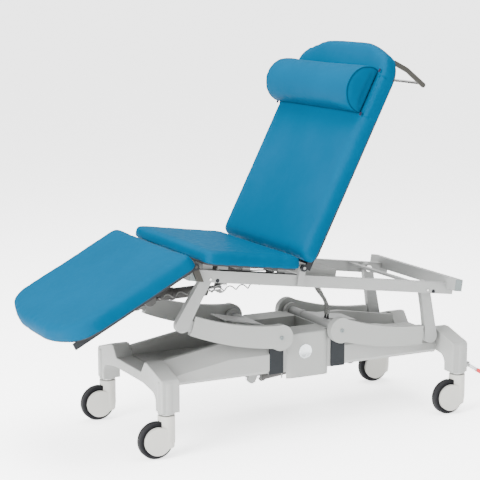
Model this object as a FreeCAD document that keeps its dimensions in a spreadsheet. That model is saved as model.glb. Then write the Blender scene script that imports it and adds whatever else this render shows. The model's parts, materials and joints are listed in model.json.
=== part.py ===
import FreeCAD, Part
import math
import os

# Powered three-section examination couch. +X runs from the foot end to the head end, -Y is the
# near side, +Z is up. The origin is on the floor, below the middle of the couch's box.
# The couch stands with its top frame tipped head-down, its leg section lowered and its
# backrest raised.

os.makedirs("parts", exist_ok=True)
doc = FreeCAD.newDocument("exam_couch")
V = FreeCAD.Vector
Rot = FreeCAD.Rotation
Place = FreeCAD.Placement
X_AXIS, Y_AXIS, Z_AXIS = V(1, 0, 0), V(0, 1, 0), V(0, 0, 1)
SIDES = {"near": -1, "far": 1}
ENDS = {"foot": -1, "head": 1}
HORN_SIDE = {"foot": -95, "head": 70}

# ---------------------------------------------------------------- driving dimensions

DIMENSIONS = [
    # base
    ("base_middle", 141), ("track_half", 252), ("stem_spread", 576.5), ("post_radius", 29),
    ("post_foot", 148), ("frame_depth", 64), ("beam_floor", 258), ("beam_bottom", 207),
    ("beam_half_width", 172), ("channel_half", 118), ("housing_half", 150),
    ("housing_half_width", 166), ("housing_wall", 14), ("cover_half", 94), ("cover_top", 342),
    ("cover_foot", 184), ("cover_half_width", 175), ("cover_wall", 4), ("tray_half", 95),
    ("tray_half_width", 75), ("tray_depth", 70), ("trim_width", 54), ("trim_top", 305),
    # castors
    ("wheel_radius", 62.5), ("tyre_inner", 46.5), ("wheel_half", 15.5), ("castor_trail", 39),
    ("castor_top", 143), ("side_cover_radius", 47), ("castor_half", 28), ("axle_radius", 8), ("pedal_pin", 4),
    ("stem_radius", 10), ("running_gap", 0.05),
    # lift arms
    ("pivot_spread", 120), ("pivot_height", 340), ("arm_length", 380), ("upright_length", 189),
    ("elbow_angle", 71), ("foot_arm_rise", 12.4), ("head_arm_rise", -9.2), ("arm_middle", 190.5),
    ("upright_thick", 22), ("inner_arm_thick", 15), ("arm_cover_thick", 26), ("tube_radius", 18),
    ("tube_bore", 13), ("pin_radius", 8), ("roller_radius", 10),
    ("horn_length", 172.8), ("horn_thick", 12),
    # top frame
    ("rail_inner", 203.5), ("rail_width", 25), ("rail_height", 40), ("rail_foot", -925),
    ("rail_head", 104), ("track_foot", -912), ("track_head", -540), ("track_half_height", 13.5),
    ("track_groove", 14), ("cross_rail_width", 28), ("cross_rail_half", 280), ("cross_rail_along", 88), ("cross_bar_height", 24.5),
    ("bracket_thick", 10), ("ear_thick", 9),
    # upholstery and hinges
    ("pad_half_width", 312), ("pad_bottom", 45), ("pad_thick", 61), ("pad_round", 22), ("board_thick", 10),
    ("seat_front", -938), ("seat_rear", -566), ("leg_hinge_along", -940), ("leg_hinge_up", 32),
    ("leg_angle", 35.5), ("leg_length", 529.5), ("back_hinge_along", -533), ("back_hinge_up", 47),
    ("back_angle", 71), ("back_start", 15), ("back_length", 826.0), ("hinge_pin", 5), ("arm_depth", 22), ("holder_rod", 7),
    ("pillow_along", 628), ("pillow_half", 86), ("pillow_height", 92), ("pillow_half_width", 288),
    # actuators and cords
    ("rod_radius", 10), ("eye_thick", 16), ("actuator_tube", 19), ("lug_thick", 10), ("curl_radius", 5.5),
    ("leg_curl_radius", 6),
]

sheet = doc.addObject("Spreadsheet::Sheet", "Dims")
for row, (alias, value) in enumerate(DIMENSIONS, start=1):
    sheet.set(f"A{row}", alias)
    sheet.set(f"B{row}", str(value))
    sheet.setAlias(f"B{row}", alias)
doc.recompute()


class Cells:
    """The sheet's values by their alias."""

    def __getattr__(self, alias):
        return float(sheet.get(alias))


dim = Cells()
parts = {}


def cell(expression):
    """An expression in which every word that the sheet knows is its cell."""
    words = sorted((alias for alias, _ in DIMENSIONS), key=len, reverse=True)
    text, out = expression, ""
    while text:
        word = next((w for w in words if text.startswith(w)), None)
        if word and not (out[-1:].isalnum() or out[-1:] == "_"):
            out, text = out + "Dims." + word, text[len(word):]
        else:
            out, text = out + text[0], text[1:]
    return out


# ---------------------------------------------------------------- building blocks

def keep(name, obj):
    """Names obj as a finished sub-part."""
    obj.Label = name
    parts[name] = obj
    return obj


def box(size, at=V(), turn=Rot(), centred="xyz"):
    """A box whose three sizes are sheet expressions; it is centred on the axes named."""
    obj = doc.addObject("Part::Box", "Block")
    for side, expression in zip(("Length", "Width", "Height"), size):
        obj.setExpression(side, cell(str(expression)))
    obj.recompute()
    half = V(*[-float(getattr(obj, side)) / 2 if axis in centred else 0
               for side, axis in zip(("Length", "Width", "Height"), "xyz")])
    obj.Placement = Place(at, turn).multiply(Place(half, Rot()))
    return obj


def rod(radius, length, at=V(), along=Z_AXIS, centred=True):
    """A cylinder along an axis, its radius and length as sheet expressions."""
    obj = doc.addObject("Part::Cylinder", "Rod")
    obj.setExpression("Radius", cell(str(radius)))
    obj.setExpression("Height", cell(str(length)))
    obj.recompute()
    start = V(0, 0, -float(obj.Height) / 2 if centred else 0)
    obj.Placement = Place(at, Rot(Z_AXIS, along)).multiply(Place(start, Rot()))
    return obj


def lines(corners):
    """A closed outline from (u, v, radius) corners, each radius a tangent arc."""
    count, sides, tangents = len(corners), [], []
    for i, (u, v, radius) in enumerate(corners):
        here = V(u, v, 0)
        before = V(corners[i - 1][0], corners[i - 1][1], 0) - here
        after = V(corners[(i + 1) % count][0], corners[(i + 1) % count][1], 0) - here
        before.normalize()
        after.normalize()
        half = before.getAngle(after) / 2
        if radius:
            cut = radius / math.tan(half)
            middle = (before + after).normalize() * (radius / math.sin(half) - radius)
            tangents.append((here + before * cut, here + middle, here + after * cut))
        else:
            tangents.append((here, None, here))
    for i, (start, middle, end) in enumerate(tangents):
        if middle is not None:
            sides.append(Part.Arc(start, middle, end))
        following = tangents[(i + 1) % count][0]
        if (following - end).Length > 1e-6:
            sides.append(Part.LineSegment(end, following))
    return sides


def curve(start, *steps):
    """A closed outline: (u, v) is a straight side, ((mu, mv), (u, v)) an arc through mu, mv."""
    sides, here = [], V(*start, 0)
    for step in steps:
        if isinstance(step[0], tuple):
            there = V(*step[1], 0)
            sides.append(Part.Arc(here, V(*step[0], 0), there))
        else:
            there = V(*step, 0)
            sides.append(Part.LineSegment(here, there))
        here = there
    return sides


def prism(sides, thickness, plane="XZ_Plane", at=V(), turn=Rot(), symmetric=True, flip=False):
    """A body: a sketch of the sides on one of its planes, padded by a sheet expression."""
    body = doc.addObject("PartDesign::Body", "Piece")
    sketch = body.newObject("Sketcher::SketchObject", "Outline")
    origin = [f for f in body.Origin.OriginFeatures if f.Role == plane][0]
    sketch.AttachmentSupport = [(origin, "")]
    sketch.MapMode = "FlatFace"
    for side in sides:
        sketch.addGeometry(side, False)
    pad = body.newObject("PartDesign::Pad", "Thickness")
    pad.Profile = sketch
    pad.setExpression("Length", cell(str(thickness)))
    if symmetric:
        pad.SideType = "Symmetric"
    pad.Reversed = flip
    body.Tip = pad
    body.Placement = Place(at, turn)
    return body


def turned(sides, at=V(), turn=Rot()):
    """A body: a sketch on its XZ plane turned once round its own Z axis."""
    body = doc.addObject("PartDesign::Body", "Turned")
    sketch = body.newObject("Sketcher::SketchObject", "Section")
    origin = [f for f in body.Origin.OriginFeatures if f.Role == "XZ_Plane"][0]
    sketch.AttachmentSupport = [(origin, "")]
    sketch.MapMode = "FlatFace"
    for side in sides:
        sketch.addGeometry(side, False)
    ring = body.newObject("PartDesign::Revolution", "Turn")
    ring.Profile = sketch
    ring.ReferenceAxis = (sketch, ["V_Axis"])
    ring.Angle = 360
    body.Tip = ring
    body.Placement = Place(at, turn)
    return body


def fuse(*shapes):
    obj = doc.addObject("Part::MultiFuse", "Joined")
    obj.Shapes = list(shapes)
    obj.Refine = True
    return obj


def cut(base, *tools):
    obj = doc.addObject("Part::Cut", "Cut")
    obj.Base = base
    obj.Tool = tools[0] if len(tools) == 1 else fuse(*tools)
    return obj


def common(first, second):
    obj = doc.addObject("Part::Common", "Common")
    obj.Base, obj.Tool = first, second
    return obj


def group(*shapes):
    """Separate solids that share one node."""
    obj = doc.addObject("Part::Compound", "Group")
    obj.Links = list(shapes)
    return obj


def feature(shape, placement=Place()):
    obj = doc.addObject("Part::Feature", "Shaped")
    obj.Shape = shape
    obj.Placement = placement
    return obj


def moved(obj, placement):
    """Puts a finished object into an outer frame."""
    obj.Placement = placement.multiply(obj.Placement)
    return obj


# ---------------------------------------------------------------- where things are

BASE = Place(V(dim.base_middle, 0, 0), Rot())


def pivot(end):
    return V(dim.base_middle + ENDS[end] * dim.pivot_spread, 0, dim.pivot_height)


def arm_frame(end):
    """The arm's own frame: x runs outwards from the pivot to the elbow, z is up."""
    rise = {"foot": dim.foot_arm_rise, "head": dim.head_arm_rise}[end]
    if end == "head":
        return Place(pivot(end), Rot(Y_AXIS, -rise))
    return Place(pivot(end), Rot(Y_AXIS, rise).multiply(Rot(Z_AXIS, 180)))


ELBOW = V(dim.arm_length, 0, 0)
lean = math.radians(180 - dim.elbow_angle)
ARM_TOP = ELBOW + V(math.cos(lean), 0, math.sin(lean)) * dim.upright_length
foot_pin = arm_frame("foot").multVec(ARM_TOP)
head_pin = arm_frame("head").multVec(ARM_TOP)
pitch = math.degrees(math.atan2(foot_pin.z - head_pin.z, head_pin.x - foot_pin.x))

# The top frame's own frame: origin on the head pins, x towards the head, z square to the rails.
TOP = Place(head_pin, Rot(Y_AXIS, pitch))
FOOT_PIN_ALONG = -(foot_pin - head_pin).Length

# The leg section's and backrest's own frames: origin on the hinge, x away from the hinge.
LEG = TOP.multiply(Place(V(dim.leg_hinge_along, 0, dim.leg_hinge_up),
                         Rot(Y_AXIS, -dim.leg_angle).multiply(Rot(Z_AXIS, 180))))
BACK = TOP.multiply(Place(V(dim.back_hinge_along, 0, dim.back_hinge_up),
                          Rot(Y_AXIS, -dim.back_angle)))
LEG_BOTTOM = dim.pad_bottom - dim.leg_hinge_up
BACK_BOTTOM = dim.pad_bottom - dim.back_hinge_up


# Actuator ends: each eye lies beside its lug or horn, LUG_STEP away across the couch.
LUG_STEP = 18
HORN_END = V(23.8, 0, -171.1)
HORN_STEP = {"foot": -1, "head": 1}
LIFT_BODY = {end: BASE.multVec(V(-ENDS[end] * 260, HORN_SIDE[end] - HORN_STEP[end] * LUG_STEP, 222))
             for end in ENDS}
LIFT_ROD = {end: arm_frame(end).multVec(HORN_END) + V(0, LIFT_BODY[end].y, 0) for end in ENDS}
LEG_EYE, LEG_LUG = V(200, 0, -40), V(-735, -60, -60)
BACK_EYE, BACK_LUG = V(-36, 0, -50), V(-872, 60, -26)
PEDAL_PIN = BASE.multVec(V(dim.stem_spread + 41, -dim.track_half - 10, 172))


# ---------------------------------------------------------------- base

def leg_frame(end):
    """A cast end frame: an arched plate with a notch for the beam, on two round posts."""
    sign = ENDS[end]
    top, notch, shoulder = 297, 106, 140
    half = dim.track_half + dim.post_radius - 3
    inner = dim.track_half - dim.post_radius
    right = [(inner, dim.post_foot + 6, 0), (half, dim.post_foot + 6, 0), (half, 262, 14),
             (shoulder + 18, top, 22), (shoulder - 4, top, 0), (notch, dim.beam_floor, 4)]
    left = [(-y, z, r) for y, z, r in reversed(right)]
    arch = [(-inner, 206, 34), (-120, 222, 120), (120, 222, 120), (inner, 206, 34)]
    plate = prism(lines(right + left + arch), "frame_depth", plane="YZ_Plane",
                  at=BASE.multVec(V(sign * (dim.stem_spread - 6), 0, 0)))
    soft = doc.addObject("Part::Fillet", "SoftEdges")
    soft.Base = plate
    doc.recompute()
    chosen = []
    for number, edge in enumerate(plate.Shape.Edges, start=1):
        across = abs(edge.BoundBox.XLength) < 0.01
        if across and edge.BoundBox.ZMin > dim.post_foot + 7:
            chosen.append((number, 4.0, 4.0))
    soft.Edges = chosen
    posts, bores = [], []
    for side in (-1, 1):
        foot = BASE.multVec(V(sign * dim.stem_spread, side * dim.track_half, dim.post_foot))
        post = turned(lines([(0, 0, 0), (dim.post_radius, 0, 2), (dim.post_radius, 112, 12),
                             (0, 116, 0)]), at=foot)
        posts.append(post)
        bores.append(rod("stem_radius", 60, at=foot, centred=False))
    boss = []
    if end == "head":
        at = PEDAL_PIN + V(-7, 10, 0)
        boss = [box((34, 10, 18), at=at),
                rod("pedal_pin", 20, at=PEDAL_PIN + V(0, 4, 0), along=Y_AXIS)]
    return keep(end + "_leg_frame", cut(fuse(soft, *posts, *boss), *bores))


def beam(end):
    """Half of the boat-shaped base beam: a channel on top, a hollow for the actuators below."""
    sign = ENDS[end]
    near_end = dim.stem_spread - 6 - dim.frame_depth / 2
    stations = [(dim.housing_half, 330), (300, 330), (near_end, 291)]
    wires = []
    for x, top in stations:
        waist = top - 52
        half = [(dim.channel_half - 30, top), (dim.channel_half + 18, top),
                (dim.beam_half_width, waist), (dim.beam_half_width, dim.beam_bottom + 14),
                (dim.beam_half_width - 14, dim.beam_bottom)]
        ring = [V(sign * x, y, z) for y, z in half] + [V(sign * x, -y, z) for y, z in half[::-1]]
        wires.append(Part.makePolygon(ring + ring[:1]))
    skin = feature(Part.makeLoft(wires, True, True), BASE)
    along = sign * (dim.housing_half + near_end) / 2
    length = near_end - dim.housing_half + 20
    channel = box((length, "2 * channel_half", 100), at=BASE.multVec(V(along, 0, 308)))
    hollow = box((length, "2 * beam_half_width - 24", 80),
                 at=BASE.multVec(V(along - sign * 22, 0, dim.beam_floor - 8 - 40)))
    horn_slot = box((150, 64, 40),
                    at=BASE.multVec(V(sign * (dim.housing_half + 70), HORN_SIDE[end], 252)))
    other = {"foot": "head", "head": "foot"}[end]
    lug = hanging_lug(LIFT_BODY[other], sign_to_plate=HORN_STEP[other], top=252)
    return keep(end + "_beam", fuse(cut(skin, channel, hollow, horn_slot), lug))


def pivot_housing():
    """The casting in the middle: two side plates with bearing bores, tied by end walls."""
    ear, top = 31, dim.trim_top
    spread, height = dim.pivot_spread, dim.pivot_height
    half = dim.housing_half - 0.2
    sides = curve((-half, dim.beam_bottom), (half, dim.beam_bottom), (half, top),
                  (spread + ear, height), ((spread, height + ear), (spread - ear, height)),
                  (spread - ear - 12, top), (-spread + ear + 12, top), (-spread + ear, height),
                  ((-spread, height + ear), (-spread - ear, height)), (-half, top),
                  (-half, dim.beam_bottom))
    plates = [prism(sides, "housing_wall",
                    at=BASE.multVec(V(0, s * (dim.housing_half_width - dim.housing_wall / 2), 0)))
              for s in (-1, 1)]
    across = "2 * housing_half_width - housing_wall"
    tie = box((150, across, 8), at=BASE.multVec(V(0, 0, 260)))
    bores = [rod("tube_radius + running_gap", 400, at=pivot(end), along=Y_AXIS) for end in ENDS]
    return keep("pivot_housing", cut(fuse(*plates, tie), *bores))


def trim_panels():
    """Four dark panels that close the base's sides beside the cover."""
    panels = []
    for end_sign in (-1, 1):
        for side in (-1, 1):
            at = BASE.multVec(V(end_sign * (dim.housing_half - dim.trim_width / 2 - 0.4),
                                side * (dim.housing_half_width + 3),
                                (dim.beam_bottom + dim.trim_top) / 2))
            panels.append(box(("trim_width", 6, "trim_top - beam_bottom"), at=at))
    return keep("side_trim_panels", group(*panels))


def centre_cover():
    """The moulded cover over the middle, with a tray let into its top."""
    half, wide = dim.cover_half, dim.cover_half_width
    wall = dim.cover_wall
    shells = []
    for inset in (0, wall):
        plan = lines([(x * (half - inset), y * (wide - inset), 34 - inset)
                      for x, y in ((-1, -1), (1, -1), (1, 1), (-1, 1))])
        height = "cover_top - cover_foot" if inset == 0 else "cover_top - cover_foot - cover_wall"
        shells.append(prism(plan, height, plane="XY_Plane", symmetric=False,
                            at=BASE.multVec(V(0, 0, dim.cover_foot))))
    tray = box(("2 * tray_half + 2 * cover_wall - 17", "2 * tray_half_width + 2 * cover_wall",
                "tray_depth + cover_wall"),
               at=BASE.multVec(V(0, 0, dim.cover_top - dim.tray_depth - wall)), centred="xy")
    hollow = box(("2 * tray_half - 17", "2 * tray_half_width", "tray_depth + 20"),
                 at=BASE.multVec(V(0, 0, dim.cover_top - dim.tray_depth)), centred="xy")
    way_through = box(("2 * cover_half + 20", 300, 84), centred="xy",
                      at=BASE.multVec(V(0, 0, dim.cover_foot - 1)))
    plates = [box((22, "housing_wall + 1", 200), centred="xy",
                  at=BASE.multVec(V(x * (dim.cover_half - 7),
                                    y * (dim.housing_half_width - dim.housing_wall / 2),
                                    dim.cover_foot - 1))) for x in (-1, 1) for y in (-1, 1)]
    edged = doc.addObject("Part::Fillet", "SoftTop")
    edged.Base = shells[0]
    doc.recompute()
    edged.Edges = [(n, 5.0, 5.0) for n, e in enumerate(shells[0].Shape.Edges, start=1)
                   if e.BoundBox.ZMin > dim.cover_top - 0.1]
    return keep("centre_cover", cut(fuse(cut(edged, shells[1]), tray), hollow,
                                     way_through, *plates))


def castor_stems():
    """Four stems pressed up into the posts, each with a collar above its castor."""
    stems = []
    for end_sign in (-1, 1):
        for side in (-1, 1):
            at = BASE.multVec(V(end_sign * dim.stem_spread, side * dim.track_half, 0))
            stems.append(turned(lines([
                (0, 129.5, 0), (dim.stem_radius, 129.5, 1), (dim.stem_radius, 144, 0),
                (20, 144, 1), (20, dim.post_foot, 0), (dim.stem_radius, dim.post_foot, 0),
                (dim.stem_radius, dim.post_foot + 58, 1), (0, dim.post_foot + 58, 0)]), at=at))
    return keep("castor_stems", group(*stems))


def castor(name, end_sign, side):
    """A hooded castor: the housing turns on its stem, the wheel turns on stub axles in it."""
    stem = BASE.multVec(V(end_sign * dim.stem_spread, side * dim.track_half, 0))
    axle = stem + V(-dim.castor_trail, 0, dim.wheel_radius)
    width = 2 * dim.castor_half
    column = turned(lines([(0, 32, 0), (25.5, 32, 6), (dim.post_radius, 60, 40),
                           (dim.post_radius, dim.castor_top, 3), (0, dim.castor_top, 0)]), at=stem)
    discs = rod("side_cover_radius", width, at=axle, along=Y_AXIS)
    well = rod("wheel_radius + 2", "2 * wheel_half + 2", at=axle, along=Y_AXIS)
    stem_bore = rod("stem_radius + running_gap", 20, at=stem + V(0, 0, 129), centred=False)
    hood = cut(fuse(column, discs), well, stem_bore,
               rod("axle_radius + running_gap", "2 * castor_half - 6", at=axle, along=Y_AXIS))
    keep(name + "_housing", hood)
    wheel = turned(lines([(0, -24.5, 0), (dim.axle_radius, -24.5, 1), (dim.axle_radius, -15, 0),
                          (20, -15, 2), (24, -8, 4), (38, -8, 4), (41, -13, 2),
                          (dim.tyre_inner, -13, 0), (54, -dim.wheel_half, 6),
                          (dim.wheel_radius, -12, 8), (dim.wheel_radius, 12, 8),
                          (54, dim.wheel_half, 6), (dim.tyre_inner, 13, 0), (41, 13, 2),
                          (38, 8, 4), (24, 8, 4), (20, 15, 2), (dim.axle_radius, 15, 0),
                          (dim.axle_radius, 24.5, 1), (0, 24.5, 0)]),
                   at=axle, turn=Rot(X_AXIS, 90))
    keep(name + "_wheel", wheel)


def brake_pedal():
    """The pedal lever, which turns on a pin beside the near head-end post."""
    lever = prism(lines([(-7, -7, 6.5), (72, -5, 4), (72, 5, 4), (-7, 7, 6.5)]), 9)
    bore = rod("pedal_pin + running_gap", 20, along=Y_AXIS)
    keep("brake_pedal", moved(cut(lever, bore), Place(PEDAL_PIN, Rot(Y_AXIS, 30))))


# ---------------------------------------------------------------- lift arms

def outward(end, side):
    """The sign of y, in the arm's own frame, that points out of the couch on this side."""
    return SIDES[side] * ENDS[end]


def lift_arm(end, side):
    """A cranked steel arm: a flat bar inside the cover, then the bare upright to the rail."""
    out = (ARM_TOP - ELBOW).normalize()
    square = V(out.z, 0, -out.x)
    base, top = 25, 20

    def spot(along, across):
        point = ELBOW + out * along + square * across
        return (point.x, point.z)

    upright = curve(spot(0, base), (spot(-base, 0), spot(0, -base)),
                    (spot(dim.upright_length / 2, -base + 6), spot(dim.upright_length, -top)),
                    (spot(dim.upright_length + top, 0), spot(dim.upright_length, top)),
                    spot(0, base))
    bar = lines([(-28, -24, 22), (372, -18, 0), (372, 18, 0), (-28, 24, 22)])
    steel = fuse(prism(upright, "upright_thick"), prism(bar, "inner_arm_thick"))
    arm = cut(steel, rod("pin_radius + running_gap", 60, at=ARM_TOP, along=Y_AXIS))
    moved(arm, Place(V(0, outward(end, side) * dim.arm_middle, 0), Rot()))
    return keep(f"{end}_arm_{side}", moved(arm, arm_frame(end)))


def arm_cover_outline(inset):
    """The cover's side view: round at the pivot, hollow-backed on top, full-bellied below."""
    r, a = 45 - inset, math.radians(62)
    start = (r * math.cos(a), r * math.sin(a))
    low = (r * math.cos(a), -r * math.sin(a))
    end = 340 - inset
    return curve(start, ((175, 25 - inset), (end, 36 - inset)), (end + 4, -30 + inset),
                 ((180, -47 + inset), low), ((-r, 0), start))


def arm_cover(end, side):
    """A hollow moulded cover over the flat bar, with a small cap over the pivot."""
    sign = outward(end, side)
    outer = prism(arm_cover_outline(0), "arm_cover_thick")
    inner = prism(arm_cover_outline(3), "arm_cover_thick - 6")
    tube_hole = rod("tube_radius + 2", 30, at=V(0, -sign * 15, 0), along=Y_AXIS)
    way_out = box((30, "inner_arm_thick + 1", 40), at=V(350, 0, 0))
    cap = rod(5, 2, at=V(0, sign * dim.arm_cover_thick / 2, 0), along=Y_AXIS)
    shell = fuse(cut(outer, inner, tube_hole, way_out), cap)
    moved(shell, Place(V(0, sign * dim.arm_middle, 0), Rot()))
    return keep(f"{end}_arm_cover_{side}", moved(shell, arm_frame(end)))


def arm_crossmember(end):
    """The tube that joins the near and far arms, with its web and the horn it is pushed by."""
    tube = rod("tube_radius", "2 * arm_middle - inner_arm_thick", along=Y_AXIS)
    down = math.degrees(math.atan2(HORN_END.x, -HORN_END.z))
    reach = -dim.horn_length - 15
    horn = prism(lines([(-20, 20, 19), (-15, reach, 14.5), (15, reach, 14.5), (20, 20, 19)]),
                 "horn_thick", at=V(0, HORN_SIDE[end] * ENDS[end], 0), turn=Rot(Y_AXIS, -down))
    web = box((150, 110, 4), at=V(75, 0, 16))
    glands = []
    if end == "head":
        glands = [rod(7, 8, at=V(0, y, 17)) for y in (-97, -80)]
    bore = rod("tube_bore", 500, along=Y_AXIS)
    return keep(end + "_arm_crossmember", moved(cut(fuse(tube, horn, web, *glands), bore),
                                                arm_frame(end)))


def foot_rollers():
    """The foot arms' top pins, each with the roller that runs in the rail's track."""
    pieces = []
    for side in SIDES:
        sign = outward("foot", side)
        at = ARM_TOP + V(0, sign * (dim.rail_inner - 11), 0)
        shank = rod("pin_radius", 33, at=at, along=Y_AXIS)
        wheel = rod("roller_radius", 9, at=ARM_TOP + V(0, sign * (dim.rail_inner + 7), 0),
                    along=Y_AXIS)
        head = rod(13, 4, at=ARM_TOP + V(0, sign * (dim.rail_inner - 29), 0), along=Y_AXIS)
        pieces.append(fuse(shank, wheel, head))
    return keep("foot_rollers", moved(group(*pieces), arm_frame("foot")))


# ---------------------------------------------------------------- top frame

def side_rail(side):
    """A side rail: notched at the head for the cross rail, with a roller track at the foot."""
    sign = SIDES[side]
    middle = (dim.rail_foot + dim.rail_head) / 2
    y = sign * (dim.rail_inner + dim.rail_width / 2)
    bar = box(("rail_head - rail_foot", "rail_width", "rail_height"), at=V(middle, y, 0))
    notch = box(("cross_rail_width + 4", 60, 40),
                at=V(dim.rail_head - dim.cross_rail_width / 2, y, 20))
    length = dim.track_head - dim.track_foot
    groove = prism(lines([(-length / 2, -dim.track_half_height, 12),
                          (length / 2, -dim.track_half_height, 12),
                          (length / 2, dim.track_half_height, 12),
                          (-length / 2, dim.track_half_height, 12)]), "track_groove",
                   at=V((dim.track_foot + dim.track_head) / 2,
                        sign * (dim.rail_inner + dim.track_groove / 2), 0))
    pin_bore = rod("pin_radius", 44, at=V(0, sign * dim.rail_inner, 0), along=Y_AXIS)
    return keep(side + "_side_rail", moved(cut(bar, notch, groove, pin_bore), TOP))


def head_pins():
    """The pins that hold the head arms' tops to the rails, with their inner heads."""
    pins = []
    for sign in (-1, 1):
        shank = rod("pin_radius", 48, at=V(0, sign * (dim.rail_inner - 2.5), 0), along=Y_AXIS)
        head = rod(13, 4, at=V(0, sign * (dim.rail_inner - 27.5), 0), along=Y_AXIS)
        pins.append(fuse(shank, head))
    return keep("head_pins", moved(group(*pins), TOP))


def head_cross_rail():
    """The tall cross rail over the rails' head ends."""
    bar = box(("cross_rail_width", "2 * cross_rail_half", 42), centred="xy",
              at=V(dim.cross_rail_along, 0, 0))
    return keep("head_cross_rail", moved(bar, TOP))


def rail_end_caps():
    """Plastic caps in the open ends of both cross rails."""
    caps = []
    for sign in (-1, 1):
        y = sign * (dim.cross_rail_half + 2.5)
        caps.append(box((27, 5, 41), at=V(dim.cross_rail_along, y, 21)))
        y = sign * (dim.rail_inner + dim.rail_width - 2.6)
        caps.append(box((23, 4.8, 25), at=V(dim.rail_foot - 12, y, -6)))
    return keep("rail_end_caps", moved(group(*caps), TOP))


def hanging_lug(pin, sign_to_plate, top):
    """A lug plate beside an actuator's rear eye, and the headed pin that the eye turns on."""
    y = pin.y + sign_to_plate * LUG_STEP
    plate = prism(lines([(-16, -16, 15.5), (16, -16, 15.5), (18, top - pin.z, 0),
                         (-18, top - pin.z, 0)]), "lug_thick", at=V(pin.x, y, pin.z))
    shank = rod("pin_radius", 31, at=pin + V(0, sign_to_plate * 6, 0), along=Y_AXIS)
    head = rod(12, 4, at=pin - V(0, sign_to_plate * 11, 0), along=Y_AXIS)
    return fuse(plate, shank, head)


def cross_members():
    """The bars between the rails, and the lugs that the two section actuators work against."""
    bars = [box((width, "2 * rail_inner + 20", "cross_bar_height"),
                centred="xy", at=V(along, 0, dim.rail_height / 2))
            for along, width in ((-880, 36), (-735, 30), (-600, 30))]
    bars.append(box((26, "2 * rail_inner", 8), at=V(-62, 0, 12)))
    bars.append(box((20, "2 * rail_inner", 20), at=V(-462, 0, -2)))
    bars.append(box((24, "2 * rail_inner + 2 * rail_width - 10", 26),
                    at=V(dim.rail_foot - 12, 0, -6)))
    rest = prism(lines([(-24, -24, 23.5), (24, -24, 23.5), (18, 82, 0), (-18, 82, 0)]),
                 "lug_thick", at=V(LEG_LUG.x, LEG_LUG.y + LUG_STEP, LEG_LUG.z))
    lug = hanging_lug(BACK_LUG, sign_to_plate=-1, top=22)
    reliefs = [box((50, 34, 12), centred="xy", at=V(along, sign * 190.5, dim.rail_height / 2 - 7))
               for along in (-735, -600) for sign in (-1, 1)]
    reliefs.append(rod("actuator_tube + 4", 60, at=V(dim.rail_foot - 12, LEG_LUG.y, -34),
                       along=X_AXIS))
    return keep("cross_members", moved(cut(fuse(*bars, rest, lug), *reliefs), TOP))


def hinge_plate(along, up, sign, foot):
    """A hinge bracket on the outside of a rail, with its pin."""
    y = sign * (dim.rail_inner + dim.rail_width + dim.bracket_thick / 2)
    lean_to = foot - along
    plate = prism(curve((along - 12 + lean_to, -18), (along + 12 + lean_to, -18),
                        (along + 12.5, up), ((along, up + 12.5), (along - 12.5, up)),
                        (along - 12 + lean_to, -18)), "bracket_thick", at=V(0, y, 0))
    pin = rod("hinge_pin", 23, at=V(along, y + sign * 6.4, up), along=Y_AXIS)
    return fuse(plate, pin)


def leg_hinge_brackets():
    plates = [hinge_plate(dim.leg_hinge_along, dim.leg_hinge_up, s, dim.leg_hinge_along + 28)
              for s in (-1, 1)]
    return keep("leg_hinge_brackets", moved(group(*plates), TOP))


def back_hinge_brackets():
    plates = [hinge_plate(dim.back_hinge_along, dim.back_hinge_up, s, dim.back_hinge_along)
              for s in (-1, 1)]
    return keep("back_hinge_brackets", moved(group(*plates), TOP))


def control_box():
    """The control box under the backrest's foot, where both curly leads end."""
    shell = prism(lines([(-62, -16, 4), (62, -16, 4), (62, 16, 4), (-62, 16, 4)]), 150,
                  at=V(-425, -105, 24))
    return keep("control_box", moved(shell, TOP))


# ---------------------------------------------------------------- upholstery

def board_outline(start, end, half, corner, crown=0):
    """A plan view from the hinge end, its far end an arc when crown is given."""
    near = [(start, -half, 30), (end - crown, -half, corner)]
    tip = [(end, -half * 0.42, 400), (end, half * 0.42, 400)] if crown else []
    return lines(near + tip + [(end - crown, half, corner), (start, half, 30)])


def pad_side(start, end, bottom, rounds):
    """A pad's side view, its four edges rounded: hinge end low and high, far end high and low."""
    top = bottom + dim.pad_thick
    return lines([(start, bottom, rounds[0]), (start, top, rounds[1]), (end, top, rounds[2]),
                  (end, bottom, rounds[3])])


def pad(name, frame, start, end, bottom, corner, crown, rounds):
    """A pad: its side view, plan view and cross-section combined, with a recess for its board."""
    profile = prism(pad_side(start, end, bottom, rounds), "2 * pad_half_width")
    half, top = dim.pad_half_width, bottom + dim.pad_thick
    section = prism(lines([(-half, bottom, 3), (half, bottom, 3), (half, top, dim.pad_round),
                           (-half, top, dim.pad_round)]), end - start + 20, plane="YZ_Plane",
                    at=V((start + end) / 2, 0, 0))
    plan = prism(board_outline(start, end, dim.pad_half_width, corner, crown),
                 "3 * pad_thick", plane="XY_Plane")
    board = board_solid(start, end, bottom, corner, crown, 0.4)
    return keep(name, moved(cut(common(common(profile, plan), section), board), frame))


def board_solid(start, end, bottom, corner, crown, gap):
    inset = 16 - gap
    outline = board_outline(start + inset, end - inset, dim.pad_half_width - inset, corner,
                            crown)
    return prism(outline, f"board_thick + {gap}", plane="XY_Plane", symmetric=False,
                 at=V(0, 0, bottom - gap / 10))


SEAT_SPAN = (dim.seat_front, dim.seat_rear)
LEG_SPAN = (4, dim.leg_length)
BACK_SPAN = (dim.back_start, dim.back_length)


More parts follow.
